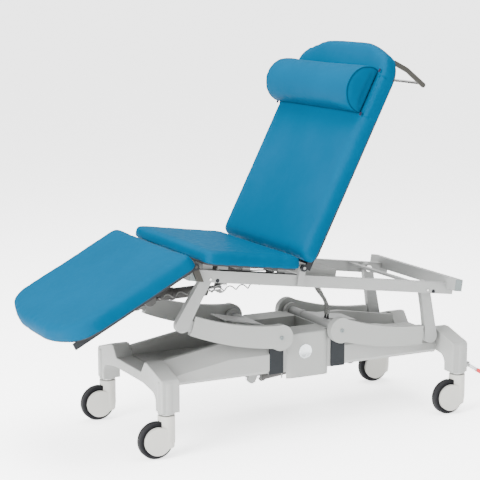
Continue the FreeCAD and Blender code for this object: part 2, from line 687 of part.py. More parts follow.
def boards_and_pads():
    """The seat, leg section and backrest: each a board let into the bottom of its pad."""
    keep("seat_board", moved(board_solid(*SEAT_SPAN, dim.pad_bottom, 30, 0, 0), TOP))
    pad("seat_pad", TOP, *SEAT_SPAN, dim.pad_bottom, 30, 0, (14, 34, 45, 14))
    keep("leg_board", moved(board_solid(*LEG_SPAN, LEG_BOTTOM, 115, 64, 0), LEG))
    pad("leg_pad", LEG, *LEG_SPAN, LEG_BOTTOM, 115, 64, (6, 34, 26, 16))
    keep("backrest_board", moved(board_solid(*BACK_SPAN, BACK_BOTTOM, 90, 64, 0), BACK))
    pad("backrest_pad", BACK, *BACK_SPAN, BACK_BOTTOM, 90, 64, (10, 40, 26, 16))


def pillow():
    """The half-round head pillow, flat against the backrest."""
    top = BACK_BOTTOM + dim.pad_thick + 4
    half, peak = dim.pillow_half, top + dim.pillow_height
    outline = curve((dim.pillow_along - half, top), (dim.pillow_along - half, top + 12),
                    ((dim.pillow_along, peak), (dim.pillow_along + half, top + 12)),
                    (dim.pillow_along + half, top), (dim.pillow_along - half, top))
    return keep("pillow", moved(prism(outline, "2 * pillow_half_width"), BACK))


def pillow_strap():
    """The wide band that holds the pillow round the backrest pad."""
    along, width = dim.pillow_along - 8, 150
    bands = []
    for gap, extra in ((3.6, 0), (1, 10)):
        reach, low = dim.pad_half_width + gap, BACK_BOTTOM - gap
        high = BACK_BOTTOM + dim.pad_thick + gap
        bands.append(prism(lines([(-reach, low, 2 + gap), (reach, low, 2 + gap),
                                  (reach, high, dim.pad_round + gap),
                                  (-reach, high, dim.pad_round + gap)]),
                           width + extra, plane="YZ_Plane", at=V(along, 0, 0)))
    return keep("pillow_strap", moved(cut(*bands), BACK))


def section_arms(start, end, bottom):
    """Two side arms below a section's board, each with an eye for its hinge pin."""
    y = dim.rail_inner + dim.rail_width + dim.bracket_thick + 1 + dim.ear_thick / 2
    pieces = []
    for sign in (-1, 1):
        bar = box((end - start, "ear_thick", "arm_depth"), centred="y",
                  at=V(start, sign * y, bottom - 0.1 - dim.arm_depth))
        eye = rod(12, "ear_thick", at=V(0, sign * y, 0), along=Y_AXIS)
        pieces += [bar, eye]
    return pieces, y


def section_bars(alongs, half_width, bottom):
    return [box((24, 2 * half_width, 14), centred="xy", at=V(along, 0, bottom - 14.1))
            for along in alongs]


def leg_section_frame():
    """The steel below the leg section's board, with the lug of its actuator."""
    pieces, y = section_arms(0, 480, LEG_BOTTOM)
    pieces += section_bars((200, 430), y, LEG_BOTTOM)
    lug = hanging_lug(LEG_EYE + V(0, -LEG_LUG.y, 0), sign_to_plate=-1, top=8)
    hinge = rod("hinge_pin + running_gap", 600, along=Y_AXIS)
    return keep("leg_section_frame", moved(cut(fuse(*pieces, lug), hinge), LEG))


def backrest_frame():
    """The steel below the backrest's board, with the lever that its actuator pushes."""
    pieces, y = section_arms(0, 520, BACK_BOTTOM)
    pieces += section_bars((30, 480), y, BACK_BOTTOM)
    x, z = BACK_EYE.x, BACK_EYE.z
    lever = prism(lines([(x - 16, z - 16, 15.5), (x + 22, z - 14, 14), (42, BACK_BOTTOM - 1, 0),
                         (20, BACK_BOTTOM - 1, 0), (x - 14, z + 18, 12)]), "lug_thick",
                  at=V(0, BACK_LUG.y - LUG_STEP, 0))
    hinge = rod("hinge_pin + running_gap", 600, along=Y_AXIS)
    return keep("backrest_frame", moved(cut(fuse(*pieces, lever), hinge), BACK))


def roll_holder():
    """The paper roll's holder behind the head end: two bent straps and the rod between them."""
    straps = [prism(lines([(774, BACK_BOTTOM, 0), (774, -61, 10), (755, -156, 8), (738, -152, 8),
                           (757, -62, 10), (757, BACK_BOTTOM, 0)]), 5, at=V(0, y, 0))
              for y in (-245, 245)]
    keep("roll_holder_straps", moved(group(*straps), BACK))
    keep("roll_holder_rod", moved(rod("holder_rod", 485, at=V(749, 0, -137), along=Y_AXIS), BACK))


# ---------------------------------------------------------------- actuators

def actuator(name, body_pin, rod_pin, shortest):
    """A linear actuator: motor, tube and rear eye in one piece, the rod and its eye in another."""
    reach = rod_pin - body_pin
    length = reach.Length
    frame = Place(body_pin, Rot(Y_AXIS, -math.degrees(math.atan2(reach.z, reach.x))))
    tube_end = shortest - 28
    tube = rod("actuator_tube", tube_end - 20, at=V(20, 0, 0), along=X_AXIS, centred=False)
    collars = [rod("actuator_tube + 3", 10, at=V(x, 0, 0), along=X_AXIS)
               for x in (tube_end * 0.55, tube_end - 6)]
    gearbox = prism(lines([(25, -23, 8), (88, -23, 8), (88, 23, 8), (25, 23, 8)]), 46)
    motor = rod(22, 96, at=V(56, 0, 0), along=Y_AXIS)
    rear_eye = fuse(rod(13, "eye_thick", along=Y_AXIS), box((32, "eye_thick", 26), at=V(14, 0, 0)))
    bore = rod("rod_radius + running_gap", tube_end, at=V(75, 0, 0), along=X_AXIS, centred=False)
    pin_hole = rod("pin_radius + running_gap", 40, along=Y_AXIS)
    body = cut(fuse(tube, *collars, gearbox, motor, rear_eye), bore, pin_hole)
    keep(name + "_actuator_body", moved(body, frame))
    start = 75 + length - shortest + 6
    shank = rod("rod_radius", length - start - 8, at=V(start, 0, 0), along=X_AXIS, centred=False)
    eye = rod(13, "eye_thick", at=V(length, 0, 0), along=Y_AXIS)
    keep(name + "_actuator_rod", moved(fuse(shank, eye), frame))


# ---------------------------------------------------------------- cords

def cord(name, points, radius):
    """A cord as one round tube: straight runs joined by tangent arcs."""
    points = [V(*p) for p in points]
    edges, here, radii = [], points[0], []
    for before, corner, after in zip(points, points[1:], points[2:]):
        back, ahead = before - corner, after - corner
        reach = 0.45 * min(back.Length, ahead.Length)
        back.normalize()
        ahead.normalize()
        half = back.getAngle(ahead) / 2
        radii.append(reach * math.tan(half))
        middle = (back + ahead).normalize() * (radii[-1] / math.sin(half) - radii[-1])
        edges.append(Part.LineSegment(here, corner + back * reach).toShape())
        edges.append(Part.Arc(corner + back * reach, corner + middle,
                              corner + ahead * reach).toShape())
        here = corner + ahead * reach
    edges.append(Part.LineSegment(here, points[-1]).toShape())
    path = Part.Wire(edges)
    section = Part.Wire(Part.makeCircle(radius, points[0], points[1] - points[0]))
    tube = path.makePipeShell([section], True, True)
    print(name, "length", round(path.Length, 1), "least bend", round(min(radii), 1),
          "volume ratio", round(tube.Volume / (math.pi * radius ** 2 * path.Length), 4))
    return keep(name, feature(tube, TOP))


# Cord routes in the top frame's own frame. The two curly leads run from glands on the head
# arms' tube to the control box, the third from the frame to the leg actuator's motor.
HANDSET_LEAD = [(-322.2, -97, -149.6), (-321.6, -97, -122), (-337, -103, -95), (-362, -114, -71),
                (-388, -127, -45), (-408, -136, -18), (-408, -136, 7.9)]
SUPPLY_LEAD = [(-322.2, -80, -149.6), (-321.6, -80, -118), (-331, -84, -88), (-362, -96, -62),
               (-392, -108, -40), (-409, -116, -14), (-409, -116, 7.9)]
LEG_LEAD = [(-600, -112, 19.9), (-600, -112, -8), (-624, -113, -32), (-662, -114, -43),
            (-705, -115, -50), (-752, -116, -55), (-800, -116, -62), (-850, -114, -69),
            (-898, -112, -76), (-940, -107, -90), (-978, -101, -98), (-1001, -97, -102)]


# ---------------------------------------------------------------- building it all

for end in ENDS:
    leg_frame(end)
    beam(end)
    for side in SIDES:
        castor(f"{end}_{side}_castor", ENDS[end], SIDES[side])
        lift_arm(end, side)
        arm_cover(end, side)
    arm_crossmember(end)
for side in SIDES:
    side_rail(side)
for build in (pivot_housing, trim_panels, centre_cover, castor_stems, brake_pedal, foot_rollers,
              head_pins, head_cross_rail, rail_end_caps, cross_members, leg_hinge_brackets,
              back_hinge_brackets, control_box, boards_and_pads, pillow, pillow_strap,
              leg_section_frame, backrest_frame, roll_holder):
    build()
for end, shortest in (("foot", 428), ("head", 365)):
    actuator(end + "_lift", LIFT_BODY[end], LIFT_ROD[end], shortest)
actuator("leg", LEG.multVec(LEG_EYE + V(0, -LEG_LUG.y, 0)), TOP.multVec(LEG_LUG), 313)
actuator("backrest", TOP.multVec(BACK_LUG), BACK.multVec(BACK_EYE + V(0, BACK_LUG.y, 0)), 290)
cord("handset_lead", HANDSET_LEAD, dim.curl_radius)
cord("supply_lead", SUPPLY_LEAD, dim.curl_radius)
cord("leg_lead", LEG_LEAD, dim.leg_curl_radius)

doc.recompute()
for obj in doc.Objects:
    if any(word in obj.State for word in ("Invalid", "Error")):
        raise RuntimeError(f"{obj.Name} did not compute: {obj.State}")
for name, obj in parts.items():
    if obj.Shape.isNull() or not obj.Shape.isValid():
        raise RuntimeError(f"{name} has no valid shape")
    obj.Shape.exportStep(f"parts/{name}.step")

limits = FreeCAD.BoundBox()
for obj in parts.values():
    limits.add(obj.Shape.BoundBox)
print(len(parts), "sub-parts", limits)
print("head pins", head_pin, "foot pins", foot_pin, "pitch", pitch)
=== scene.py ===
import json
import math
import bpy
import bmesh
from mathutils import Matrix, Vector
from mathutils.bvhtree import BVHTree


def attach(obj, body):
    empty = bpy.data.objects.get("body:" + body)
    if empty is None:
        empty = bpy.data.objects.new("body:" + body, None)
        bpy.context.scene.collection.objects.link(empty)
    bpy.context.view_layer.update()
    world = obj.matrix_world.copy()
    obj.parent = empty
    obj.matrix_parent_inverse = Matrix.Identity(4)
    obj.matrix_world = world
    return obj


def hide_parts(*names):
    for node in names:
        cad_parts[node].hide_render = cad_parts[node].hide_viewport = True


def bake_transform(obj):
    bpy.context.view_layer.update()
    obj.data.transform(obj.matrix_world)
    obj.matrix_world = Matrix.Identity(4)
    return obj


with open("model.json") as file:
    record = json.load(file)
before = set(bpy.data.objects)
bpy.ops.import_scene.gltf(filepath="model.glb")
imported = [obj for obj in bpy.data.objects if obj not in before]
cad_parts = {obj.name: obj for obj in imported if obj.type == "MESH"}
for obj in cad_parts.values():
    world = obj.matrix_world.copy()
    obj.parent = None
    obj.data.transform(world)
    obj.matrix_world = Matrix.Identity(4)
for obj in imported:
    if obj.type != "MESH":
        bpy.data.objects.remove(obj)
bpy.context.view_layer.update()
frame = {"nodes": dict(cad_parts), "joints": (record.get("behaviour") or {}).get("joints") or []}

nodes = frame["nodes"]
joints = {joint["name"]: joint for joint in frame["joints"]}
ENDS = {"foot": -1, "head": 1}
SIDES = {"near": -1, "far": 1}

# ---------------------------------------------------------------- frames shared with the CAD


def at_joint(name, turn, half_turn=False):
    """The frame of a tilting section: its origin on the hinge, x along the section."""
    matrix = Matrix.Translation(joints[name]["pos_m"]) @ Matrix.Rotation(turn, 4, "Y")
    return matrix @ Matrix.Rotation(math.pi, 4, "Z") if half_turn else matrix


PITCH = math.radians(7.8151)
LEG_ANGLE = math.radians(35.5)
BACK_ANGLE = math.radians(71)
TOP = at_joint("frame_tilt", PITCH)
LEG = at_joint("leg_section_tilt", PITCH - LEG_ANGLE, half_turn=True)
BACK = at_joint("backrest_tilt", PITCH - BACK_ANGLE)
BASE_MIDDLE = 0.141

# ---------------------------------------------------------------- camera, floor and lights

CAMERA_PLACE = (-2.4355, -4.662, 1.566)
CAMERA_LENS_MM = 114.76
CAMERA_SENSOR_MM = 36
CAMERA_LOOKS_DOWN = 9.88
CAMERA_LOOKS_RIGHT = 27.25
FLOOR_HALF = 300

camera = bpy.data.objects.new("Camera", bpy.data.cameras.new("Camera"))
camera.data.lens = CAMERA_LENS_MM
camera.data.sensor_width = CAMERA_SENSOR_MM
camera.location = CAMERA_PLACE
camera.rotation_euler = (math.radians(90 - CAMERA_LOOKS_DOWN), 0,
                         math.radians(-CAMERA_LOOKS_RIGHT))
bpy.context.scene.collection.objects.link(camera)
bpy.context.scene.camera = camera


def principled(name):
    """A new material, its node tree and its shader."""
    material = bpy.data.materials.new(name)
    material.use_nodes = True
    return material, material.node_tree, material.node_tree.nodes["Principled BSDF"]


floor_mesh = bpy.data.meshes.new("Floor")
floor_mesh.from_pydata([(x * FLOOR_HALF, y * FLOOR_HALF, 0)
                        for x, y in ((-1, -1), (1, -1), (1, 1), (-1, 1))], [], [(0, 1, 2, 3)])
floor = bpy.data.objects.new("Floor", floor_mesh)
bpy.context.scene.collection.objects.link(floor)
floor_paint, _, floor_shader = principled("studio_floor")
floor_shader.inputs["Base Color"].default_value = (0.93, 0.93, 0.93, 1)
floor_shader.inputs["Roughness"].default_value = 0.8
floor_shader.inputs["Emission Color"].default_value = (1, 1, 1, 1)
floor_shader.inputs["Emission Strength"].default_value = 2.2
floor.data.materials.append(floor_paint)

world = bpy.data.worlds.new("Studio")
world.use_nodes = True
background = world.node_tree.nodes["Background"]
background.inputs["Color"].default_value = (1, 1, 1, 1)
background.inputs["Strength"].default_value = 1.3
bpy.context.scene.world = world


def softbox(name, place, target, size, power):
    """A rectangular lamp at a place, turned to a target; power in watts."""
    light = bpy.data.objects.new(name, bpy.data.lights.new(name, "AREA"))
    light.data.shape = "RECTANGLE"
    light.data.size, light.data.size_y = size
    light.data.energy = power
    light.location = place
    light.rotation_euler = (Vector(target) - Vector(place)).to_track_quat("-Z", "Y").to_euler()
    bpy.context.scene.collection.objects.link(light)


softbox("KeyLight", (-4.2, -1.6, 2.9), (0, 0, 0.5), (2.4, 2.4), 760)
softbox("FillLight", (1.5, -4.5, 2.0), (0.1, 0, 0.5), (3.0, 2.0), 50)
softbox("TopLight", (0.2, 0.3, 4.6), (0.1, 0, 0.3), (4.0, 4.0), 620)

# ---------------------------------------------------------------- materials


def link(tree, out, into):
    """Joins an output socket to an input socket."""
    tree.links.new(out, into)


def noise(tree, scale, detail=3.0, rough=0.55):
    """A noise texture in the piece's own space, scale in cells per metre."""
    place = tree.nodes.new("ShaderNodeTexCoord")
    texture = tree.nodes.new("ShaderNodeTexNoise")
    texture.inputs["Scale"].default_value = scale
    texture.inputs["Detail"].default_value = detail
    texture.inputs["Roughness"].default_value = rough
    link(tree, place.outputs["Object"], texture.inputs["Vector"])
    return texture.outputs["Fac"]


def ramp(tree, fac, stops):
    """A colour ramp; each stop is (position, colour or grey value)."""
    node = tree.nodes.new("ShaderNodeValToRGB")
    elements = node.color_ramp.elements
    for i, (position, value) in enumerate(stops):
        colour = (value,) * 3 if isinstance(value, (int, float)) else value
        element = elements[i] if i < 2 else elements.new(position)
        element.position = position
        element.color = (*colour, 1)
    link(tree, fac, node.inputs["Fac"])
    return node.outputs["Color"]


def bump(tree, shader, *layers):
    """Stacked bumps on a shader; each layer is (height output, strength, distance)."""
    normal = None
    for height, strength, distance in layers:
        node = tree.nodes.new("ShaderNodeBump")
        node.inputs["Strength"].default_value = strength
        node.inputs["Distance"].default_value = distance
        link(tree, height, node.inputs["Height"])
        if normal is not None:
            link(tree, normal, node.inputs["Normal"])
        normal = node.outputs["Normal"]
    link(tree, normal, shader.inputs["Normal"])


def shifted(colour, factor):
    """A colour made lighter or darker by a factor."""
    return tuple(min(1.0, c * factor) for c in colour)


def surface(name, colour, roughness, spread=0.06, tone=0.05, grain=900, grain_depth=0.00008,
            grain_strength=0.25, metallic=0.0, coat=0.0, coat_roughness=0.15, specular=0.14):
    """A finish with slow colour drift, uneven roughness and a fine grain."""
    material, tree, shader = principled(name)
    shader.inputs["Metallic"].default_value = metallic
    shader.inputs["Coat Weight"].default_value = coat
    shader.inputs["Coat Roughness"].default_value = coat_roughness
    shader.inputs["Specular IOR Level"].default_value = specular
    drift = noise(tree, 7)
    link(tree, ramp(tree, drift, [(0.3, shifted(colour, 1 - tone)),
                                  (0.7, shifted(colour, 1 + tone))]),
         shader.inputs["Base Color"])
    uneven = noise(tree, 45, detail=5)
    link(tree, ramp(tree, uneven, [(0.3, roughness - spread), (0.7, roughness + spread)]),
         shader.inputs["Roughness"])
    bump(tree, shader, (noise(tree, grain, detail=2), grain_strength, grain_depth))
    return material


def vinyl_surface(name, colour):
    """Smooth upholstery vinyl: a fine pebble grain, a soft sheen, slow tension ripples."""
    material, tree, shader = principled(name)
    shader.inputs["IOR"].default_value = 1.05
    link(tree, ramp(tree, noise(tree, 5), [(0.3, shifted(colour, 0.95)),
                                           (0.7, shifted(colour, 1.05))]),
         shader.inputs["Base Color"])
    link(tree, ramp(tree, noise(tree, 60, detail=5), [(0.3, 0.46), (0.7, 0.58)]),
         shader.inputs["Roughness"])
    place = tree.nodes.new("ShaderNodeTexCoord")
    pebble = tree.nodes.new("ShaderNodeTexVoronoi")
    pebble.feature = "SMOOTH_F1"
    pebble.inputs["Scale"].default_value = 950
    link(tree, place.outputs["Object"], pebble.inputs["Vector"])
    bump(tree, shader, (noise(tree, 9, detail=1), 0.35, 0.0025),
         (pebble.outputs["Distance"], 0.22, 0.0002))
    return material


VINYL_BLUE = (0.0001, 0.0425, 0.0900)
vinyl = vinyl_surface("vinyl_blue", VINYL_BLUE)
piping = vinyl_surface("vinyl_piping", shifted(VINYL_BLUE, 0.55))
paint = surface("frame_powder_coat", (0.2088, 0.2136, 0.2088), 0.40, tone=0.02, grain=650,
                grain_depth=0.00012, coat=0.12, coat_roughness=0.35)
cover = surface("cover_moulded", (0.216, 0.2216, 0.2136), 0.45, tone=0.02, grain=1100,
                grain_depth=0.00006)
casting = surface("base_casting", (0.2224, 0.2264, 0.2192), 0.42, tone=0.02, grain=420,
                  grain_depth=0.0002, coat=0.10, coat_roughness=0.4)
ivory = surface("castor_moulded", (0.3478, 0.3434, 0.3197), 0.33, tone=0.02, grain=900,
                grain_depth=0.00005, coat=0.15)
charcoal = surface("dark_trim", (0.0075, 0.0092, 0.0110), 0.45, tone=0.12, grain=800)
black = surface("black_plastic", (0.0088, 0.0092, 0.0104), 0.42, tone=0.15, grain=900)
graphite = surface("bronze_strap", (0.034, 0.0328, 0.0288), 0.36, tone=0.12, metallic=0.4)
board_face = surface("board_backing", (0.022, 0.022, 0.0232), 0.7, tone=0.15, grain=300,
                     grain_depth=0.0003)
end_grey = surface("end_cap_plastic", (0.13, 0.15, 0.15), 0.5, tone=0.06)
bright = surface("bright_steel", (0.62, 0.62, 0.61), 0.27, tone=0.06, metallic=1.0, grain=500)
chrome = surface("actuator_rod_steel", (0.74, 0.74, 0.75), 0.14, tone=0.03, metallic=1.0,
                 spread=0.04)
actuator_grey = surface("actuator_casing", (0.048, 0.0468, 0.0452), 0.42, tone=0.08)
lead_grey = surface("lead_jacket", (0.120, 0.122, 0.115), 0.45, tone=0.08, grain=1500)
pedal_steel = surface("pedal_lever", (0.42, 0.43, 0.43), 0.35, tone=0.05, metallic=0.8)
red_tip = surface("pedal_tip_red", (0.50, 0.030, 0.035), 0.40, tone=0.08)
rubber = surface("dark_rubber", (0.014, 0.014, 0.0152), 0.62, tone=0.15, grain=500,
                 grain_depth=0.0002)


def wheel_surface(name, axle):
    """Rubber outside and moulded hub inside, told apart by the distance from the axle."""
    material, tree, shader = principled(name)
    place = tree.nodes.new("ShaderNodeTexCoord")
    offset = tree.nodes.new("ShaderNodeVectorMath")
    offset.operation = "SUBTRACT"
    offset.inputs[1].default_value = axle
    link(tree, place.outputs["Object"], offset.inputs[0])
    flat = tree.nodes.new("ShaderNodeVectorMath")
    flat.operation = "MULTIPLY"
    flat.inputs[1].default_value = (1, 0, 1)
    link(tree, offset.outputs["Vector"], flat.inputs[0])
    reach = tree.nodes.new("ShaderNodeVectorMath")
    reach.operation = "LENGTH"
    link(tree, flat.outputs["Vector"], reach.inputs[0])
    decimetres = 10
    scaled = tree.nodes.new("ShaderNodeMath")
    scaled.operation = "MULTIPLY"
    scaled.inputs[1].default_value = decimetres
    link(tree, reach.outputs["Value"], scaled.inputs[0])
    link(tree, ramp(tree, scaled.outputs["Value"],
                    [(0.460, (0.36, 0.36, 0.34)), (0.470, (0.008, 0.008, 0.010)),
                     (0.560, (0.007, 0.007, 0.008)), (0.625, (0.013, 0.013, 0.014))]),
         shader.inputs["Base Color"])
    link(tree, ramp(tree, scaled.outputs["Value"], [(0.460, 0.35), (0.470, 0.62)]),
         shader.inputs["Roughness"])
    shader.inputs["Specular IOR Level"].default_value = 0.08
    bump(tree, shader, (noise(tree, 700, detail=3), 0.3, 0.0002))
    return material


def dress(material, *names):
    """Gives CAD nodes a procedural finish."""
    for name in names:
        obj = nodes[name]
        obj.data.materials.clear()
        obj.data.materials.append(material)


CASTOR_SPREAD = 0.5765
CASTOR_TRAIL = 0.039
CASTOR_SIDE = 0.252
WHEEL_RADIUS = 0.0625
for end, end_sign in ENDS.items():
    dress(casting, end + "_leg_frame", end + "_beam")
    dress(paint, end + "_arm_crossmember")
    for side, side_sign in SIDES.items():
        castor = f"{end}_{side}_castor"
        axle = (BASE_MIDDLE + end_sign * CASTOR_SPREAD - CASTOR_TRAIL, side_sign * CASTOR_SIDE,
                WHEEL_RADIUS)
        dress(wheel_surface(castor + "_rubber_and_hub", axle), castor + "_wheel")
        dress(ivory, castor + "_housing")
        dress(paint, f"{end}_arm_{side}")
        dress(cover, f"{end}_arm_cover_{side}")
dress(paint, "near_side_rail", "far_side_rail", "head_cross_rail", "cross_members")
dress(casting, "pivot_housing")
dress(cover, "centre_cover")
dress(cover, "control_box")
dress(paint, "back_hinge_brackets")
dress(charcoal, "side_trim_panels", "leg_section_frame", "backrest_frame")
dress(graphite, "leg_hinge_brackets", "roll_holder_straps")
dress(bright, "castor_stems", "foot_rollers", "head_pins", "roll_holder_rod")
dress(end_grey, "rail_end_caps")
dress(pedal_steel, "brake_pedal")
dress(board_face, "seat_board", "leg_board", "backrest_board")
for name in ("foot_lift", "head_lift", "leg", "backrest"):
    dress(actuator_grey, name + "_actuator_body")
    dress(chrome, name + "_actuator_rod")

# ---------------------------------------------------------------- building blocks


def link_mesh(name, mesh, material, body):
    """A new smooth piece from a mesh in the shared frame, riding on a body unless it is None."""
    obj = bpy.data.objects.new(name, mesh)
    bpy.context.scene.collection.objects.link(obj)
    mesh.materials.clear()
    mesh.materials.append(material)
    mesh.shade_smooth()
    if body:
        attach(obj, body)
    return obj


def applied(obj):
    """obj's mesh with its modifiers applied, the modifiers then gone."""
    graph = bpy.context.evaluated_depsgraph_get()
    mesh = bpy.data.meshes.new_from_object(obj.evaluated_get(graph))
    obj.modifiers.clear()
    old = obj.data
    obj.data = mesh
    bpy.data.meshes.remove(old)
    return obj


def new_curve(name, kind, points):
    """A curve with one spline through points, and that spline."""
    curve = bpy.data.curves.new(name, "CURVE")
    curve.dimensions = "3D"
    line = curve.splines.new(kind)
    line.points.add(len(points) - 1)
    for point, place in zip(line.points, points):
        point.co = (*place, 1)
    return curve, line


def curve_mesh(curve):
    """The mesh that a curve evaluates to."""
    holder = bpy.data.objects.new("holder", curve)
    bpy.context.scene.collection.objects.link(holder)
    graph = bpy.context.evaluated_depsgraph_get()
    graph.update()
    mesh = bpy.data.meshes.new_from_object(holder.evaluated_get(graph))
    bpy.data.objects.remove(holder)
    return mesh


def tube(name, points, radius, material, body, closed=False, sides=10):
    """A round tube along points."""
    curve, line = new_curve(name, "POLY", points)
    curve.bevel_depth = radius
    curve.bevel_resolution = max(1, sides // 4)
    curve.use_fill_caps = True
    line.use_cyclic_u = closed
    return link_mesh(name, curve_mesh(curve), material, body)


def turned_piece(name, profile, place, axis, material, body, steps=48):
    """A turned piece: (radius, height) points spun round an axis at a place."""
    bm = bmesh.new()
    turn = Vector((0, 0, 1)).rotation_difference(Vector(axis)).to_matrix().to_4x4()
    frame_at = Matrix.Translation(place) @ turn
    rings = []
    for radius, height in profile:
        if radius < 1e-6:
            rings.append([bm.verts.new(frame_at @ Vector((0, 0, height)))])
            continue
        angles = [2 * math.pi * i / steps for i in range(steps)]
        rings.append([bm.verts.new(frame_at @ Vector((radius * math.cos(a), radius * math.sin(a),
                                                      height))) for a in angles])
    for low, high in zip(rings, rings[1:]):
        for i in range(steps):
            j = (i + 1) % steps
            corners = [low[i % len(low)], low[j % len(low)], high[j % len(high)],
                       high[i % len(high)]]
            bm.faces.new(list(dict.fromkeys(corners)))
    bmesh.ops.recalc_face_normals(bm, faces=bm.faces)
    mesh = bpy.data.meshes.new(name)
    bm.to_mesh(mesh)
    bm.free()
    piece = link_mesh(name, mesh, material, body)
    mesh.set_sharp_from_angle(angle=math.radians(35))
    return piece


def soft_block(name, size, place, material, body, bevel=0.0015, steps=3):
    """A small block with rounded edges; place is its matrix in the shared frame."""
    bm = bmesh.new()
    bmesh.ops.create_cube(bm, size=1)
    bmesh.ops.scale(bm, vec=size, verts=bm.verts)
    bmesh.ops.bevel(bm, geom=bm.edges[:], offset=bevel, segments=steps, affect="EDGES",
                    profile=0.5)
    bm.transform(place)
    mesh = bpy.data.meshes.new(name)
    bm.to_mesh(mesh)
    bm.free()
    piece = link_mesh(name, mesh, material, body)
    mesh.set_sharp_from_angle(angle=math.radians(50))
    return piece


# ---------------------------------------------------------------- upholstery

CLOTH_STEPS = 20
PAD_SQUEEZE = 0.003
PAD_SWELL = 0.005
CRISP_WEIGHT = 0.15
CRISP_FADE = 0.02


def shrunk_copy(mesh, section, squeeze):
    """A copy of a mesh, drawn in by squeeze on every side of its box in a section's frame."""
    mesh = mesh.copy()
    into = section.inverted()
    low = Vector([min((into @ v.co)[k] for v in mesh.vertices) for k in range(3)])
    high = Vector([max((into @ v.co)[k] for v in mesh.vertices) for k in range(3)])
    middle, size = (low + high) / 2, high - low
    for vertex in mesh.vertices:
        local = into @ vertex.co - middle
        vertex.co = section @ (middle + Vector([local[k] * (1 - 2 * squeeze / size[k])
                                                for k in range(3)]))
    return mesh


def smoothed(obj, times, group=""):
    """Evens obj's surface a number of times, where a vertex group weights it if one is named."""
    smooth = obj.modifiers.new("Smooth", "SMOOTH")
    smooth.factor = 0.5
    smooth.iterations = times
    smooth.vertex_group = group
    applied(obj)


def inflated(obj, cap):
    """Blows obj up as cloth under pressure, no vertex by more than cap."""
    rest = [v.co.copy() for v in obj.data.vertices]
    cloth = obj.modifiers.new("Cloth", "CLOTH")
    cloth.settings.use_pressure = True
    cloth.settings.uniform_pressure_force = 4
    cloth.settings.effector_weights.gravity = 0
    scene = bpy.context.scene
    for step in range(1, CLOTH_STEPS + 1):
        scene.frame_set(step)
    applied(obj)
    scene.frame_set(1)
    for vertex, start in zip(obj.data.vertices, rest):
        move = vertex.co - start
        if move.length > cap:
            vertex.co = start + move.normalized() * cap


def soft_pad(name, node, section, body, soften, voxel=0.006, keep_below=None):
    """A stuffed cover over a CAD solid: remeshed, its edges softened, then blown up a little.
    keep_below is the height in the section's frame under which the edges stay crisp."""
    pad = link_mesh(name, shrunk_copy(nodes[node].data, section, PAD_SQUEEZE), vinyl, None)
    remesh = pad.modifiers.new("Remesh", "REMESH")
    remesh.mode = "VOXEL"
    remesh.voxel_size = voxel
    remesh.use_smooth_shade = True
    applied(pad)
    into = section.inverted()
    group = pad.vertex_groups.new(name="soft")
    for vertex in pad.data.vertices:
        weight = 1.0
        if keep_below is not None:
            above = (into @ vertex.co).z - keep_below
            weight = min(1, max(CRISP_WEIGHT, above / CRISP_FADE))
        group.add([vertex.index], weight, "REPLACE")
    smoothed(pad, soften, "soft")
    inflated(pad, PAD_SWELL)
    smoothed(pad, 4)
    pad.vertex_groups.clear()
    finer = pad.modifiers.new("Finer", "SUBSURF")
    finer.levels = finer.render_levels = 1
    applied(pad)
    pad.data.materials.clear()
    pad.data.materials.append(vinyl)
    pad.data.shade_smooth()
    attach(pad, body)
    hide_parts(node)
    return pad


soft_pad("seat_cushion", "seat_pad", TOP, "top_frame", 46, keep_below=0.047)
soft_pad("leg_cushion", "leg_pad", LEG, "leg_section", 40, keep_below=0.015)
back_rest = soft_pad("backrest_cushion", "backrest_pad", BACK, "backrest", 40,
                     keep_below=0.0)
pillow = soft_pad("pillow_cushion", "pillow", BACK, "head_pillow", 4, voxel=0.005)


def on_surface(obj, points, lift=0.0):
    """Points moved onto obj's surface, then lifted along its normal."""
    tree = BVHTree.FromPolygons([obj.matrix_world @ v.co for v in obj.data.vertices],
                                [p.vertices for p in obj.data.polygons])
    found = []
    for point in points:
        place, normal, _, _ = tree.find_nearest(point)
        found.append(place + normal * lift)
    return found


SETTLE_ALL = 0.004
SETTLE_NONE = 0.020
SETTLE_REACH = 0.05


def settle(obj, rest, section, height, gap):
    """Drops the underside of obj onto the piece below it, to a gap. The drop is whole up to
    SETTLE_ALL above a height in the section's frame, and fades out at SETTLE_NONE."""
    tree = BVHTree.FromPolygons([v.co for v in rest.data.vertices],
                                [p.vertices for p in rest.data.polygons])
    into, down = section.inverted(), (section.to_3x3() @ Vector((0, 0, -1))).normalized()
    for vertex in obj.data.vertices:
        above = (into @ vertex.co).z - height
        if above < SETTLE_NONE:
            hit, _, _, drop = tree.ray_cast(vertex.co, down, SETTLE_REACH)
            if hit:
                fade = (SETTLE_NONE - above) / (SETTLE_NONE - SETTLE_ALL)
                share = min(1, max(0, fade))
                vertex.co += down * max(0, drop - gap) * share * share


PILLOW_ALONG = 0.628
PILLOW_HALF = 0.086
PILLOW_WIDE = 0.288
PILLOW_FLOOR = 0.062
PILLOW_CROWN = 0.080
RIM_STEPS = 40
settle(pillow, back_rest, BACK, PILLOW_FLOOR + 0.003, 0.0030)


def pillow_rim(y):
    """The D-shaped edge of the pillow at one y, from its low foot over the crown to its high foot."""
    foot = PILLOW_FLOOR + 0.003
    rim = [(PILLOW_ALONG - PILLOW_HALF, foot)]
    for i in range(RIM_STEPS + 1):
        angle = math.pi - math.pi * i / RIM_STEPS
        rim.append((PILLOW_ALONG + PILLOW_HALF * math.cos(angle),
                    PILLOW_FLOOR + 0.012 + PILLOW_CROWN * math.sin(angle)))
    rim.append((PILLOW_ALONG + PILLOW_HALF, foot))
    return [BACK @ Vector((along, y, up)) for along, up in rim]


